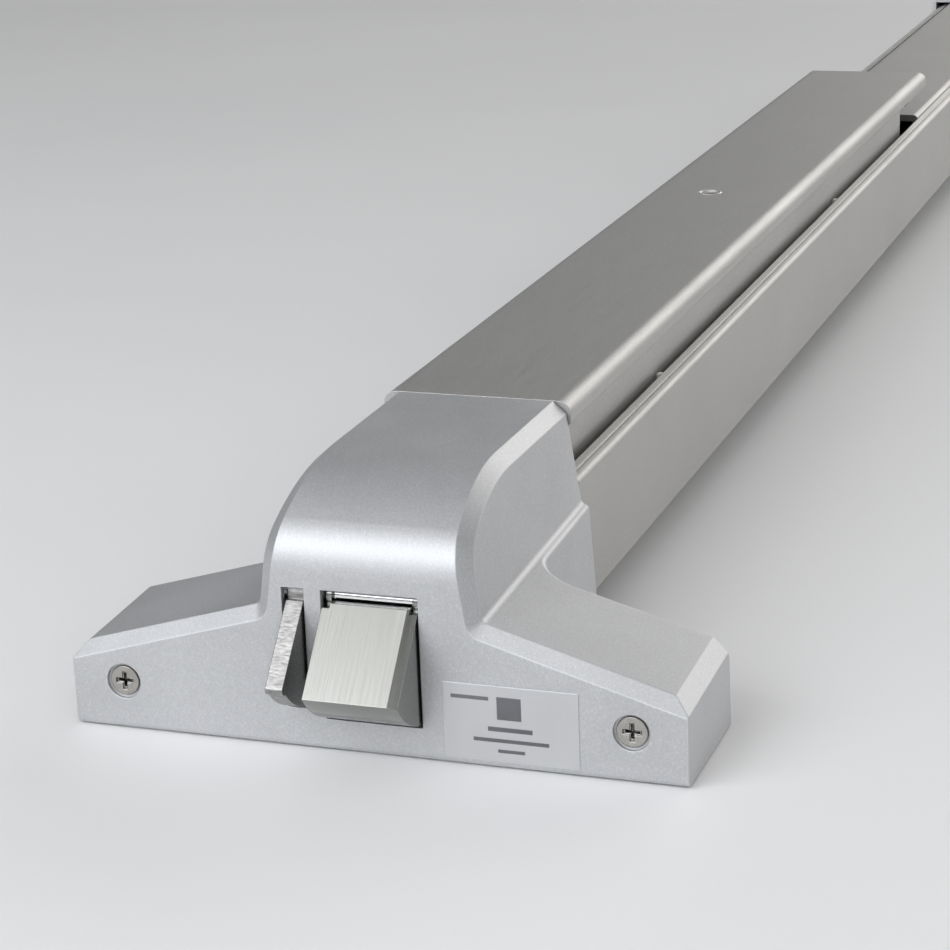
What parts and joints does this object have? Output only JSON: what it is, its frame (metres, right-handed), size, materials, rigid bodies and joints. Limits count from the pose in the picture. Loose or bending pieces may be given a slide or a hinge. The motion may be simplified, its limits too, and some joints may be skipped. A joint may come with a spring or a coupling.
{
  "type": "panic exit bar",
  "caption": "Surface-mounted push-bar panic exit device: a latch head with a swinging bolt and a dead-latch lever, a long rail, a touch bar that retracts the bolt when pressed, and an end cap.",
  "frame": {"origin": "centre of the latch head's four door-bolt holes, on the face that lies against the door", "axes": "+X along the bar, away from the latch head; +Y across the bar, to the left of someone facing the latch head's front; +Z away from the door, so the device lies on its back"},
  "size_m": [1.2185, 0.19, 0.0801],
  "materials": {
    "head_paint": "satin metallic enamel",
    "zinc_steel": "zinc plated, satin",
    "bar_aluminium": "satin anodised",
    "filler_aluminium": "satin anodised",
    "latch_nickel": "satin nickel plated",
    "lever_casting": "rough cast and plated",
    "pin_chrome": "polished",
    "screw_nickel": "nickel plated",
    "spring_steel": "oiled spring wire",
    "crank_steel": "zinc plated",
    "nylon": "matte",
    "black_plastic": "matte",
    "rubber": "matte",
    "label_film": "satin printed film",
    "dog_brass": "plated"
  },
  "bodies": {
    "frame": {"head_cover": "head_paint", "head_chassis": "zinc_steel", "latch_pin": "pin_chrome", "latch_spring": "spring_steel", "dead_latch_spring": "spring_steel", "rail": "bar_aluminium", "filler_cover": "filler_aluminium", "rail_screws": "screw_nickel", "rail_rivets": "zinc_steel", "guide_clips": "nylon", "dog_catch": "zinc_steel", "cover_screws": "screw_nickel", "end_cap_screws": "screw_nickel", "end_cap": "head_paint", "end_bracket": "zinc_steel", "rating_label": "label_film", "actuator_base_1": "zinc_steel", "crank_pin_1": "pin_chrome", "bumper_1": "rubber", "return_spring_1": "spring_steel", "actuator_base_2": "zinc_steel", "crank_pin_2": "pin_chrome", "bumper_2": "rubber", "return_spring_2": "spring_steel"},
    "push_bar": {"push_bar": "bar_aluminium", "push_bar_plug_near": "black_plastic", "push_bar_plug_far": "black_plastic", "dog_rim": "screw_nickel", "pad_bracket_1": "zinc_steel", "pad_bracket_2": "zinc_steel"},
    "crank_1": {"bell_crank_1": "crank_steel"},
    "crank_2": {"bell_crank_2": "crank_steel"},
    "link_rod": {"link_rod": "zinc_steel"},
    "latch_bolt": {"latch_bolt": "latch_nickel", "retract_pin": "pin_chrome"},
    "dead_latch_lever": {"dead_latch_lever": "lever_casting"},
    "dog_hub": {"dog_hub": "dog_brass"}
  },
  "joints": [
    {"name": "push_bar_press", "type": "slide", "parent": "frame", "child": "push_bar", "axis": [0, 0, -1], "range_m": [0, 0.015], "stiffness_N_per_m": 1200, "springref_m": -0.02, "deforming": ["return_spring_1", "return_spring_2"]},
    {"name": "crank_1_turn", "type": "hinge", "parent": "frame", "child": "crank_1", "pos_m": [0.1965, 0, 0.03], "axis": [0, 1, 0], "range_deg": [0, 44.05]},
    {"name": "crank_2_turn", "type": "hinge", "parent": "frame", "child": "crank_2", "pos_m": [0.4935, 0, 0.03], "axis": [0, 1, 0], "range_deg": [0, 44.05]},
    {"name": "link_rod_slide", "type": "slide", "parent": "frame", "child": "link_rod", "axis": [1, 0, 0], "range_m": [0, 0.00826]},
    {"name": "latch_bolt_retract", "type": "hinge", "parent": "frame", "child": "latch_bolt", "pos_m": [-0.0165, 0, 0.0468], "axis": [0, -1, 0], "range_deg": [0, 40.21]},
    {"name": "dead_latch_lever_swing", "type": "hinge", "parent": "frame", "child": "dead_latch_lever", "pos_m": [-0.0165, 0, 0.0468], "axis": [0, -1, 0], "range_deg": [0, 38], "stiffness_Nm_per_rad": 0.04, "springref_deg": -20.05},
    {"name": "dog_turn", "type": "hinge", "parent": "push_bar", "child": "dog_hub", "pos_m": [0.3895, 0.0045, 0.066], "axis": [0, 0, 1], "range_deg": [0, 90]}
  ],
  "couplings": [
    {"joint": "crank_1_turn", "follows": "push_bar_press", "rad_per_m": 51.243},
    {"joint": "crank_2_turn", "follows": "push_bar_press", "rad_per_m": 51.243},
    {"joint": "link_rod_slide", "follows": "push_bar_press", "ratio": 0.5499},
    {"joint": "latch_bolt_retract", "follows": "push_bar_press", "rad_per_m": 46.775}
  ]
}
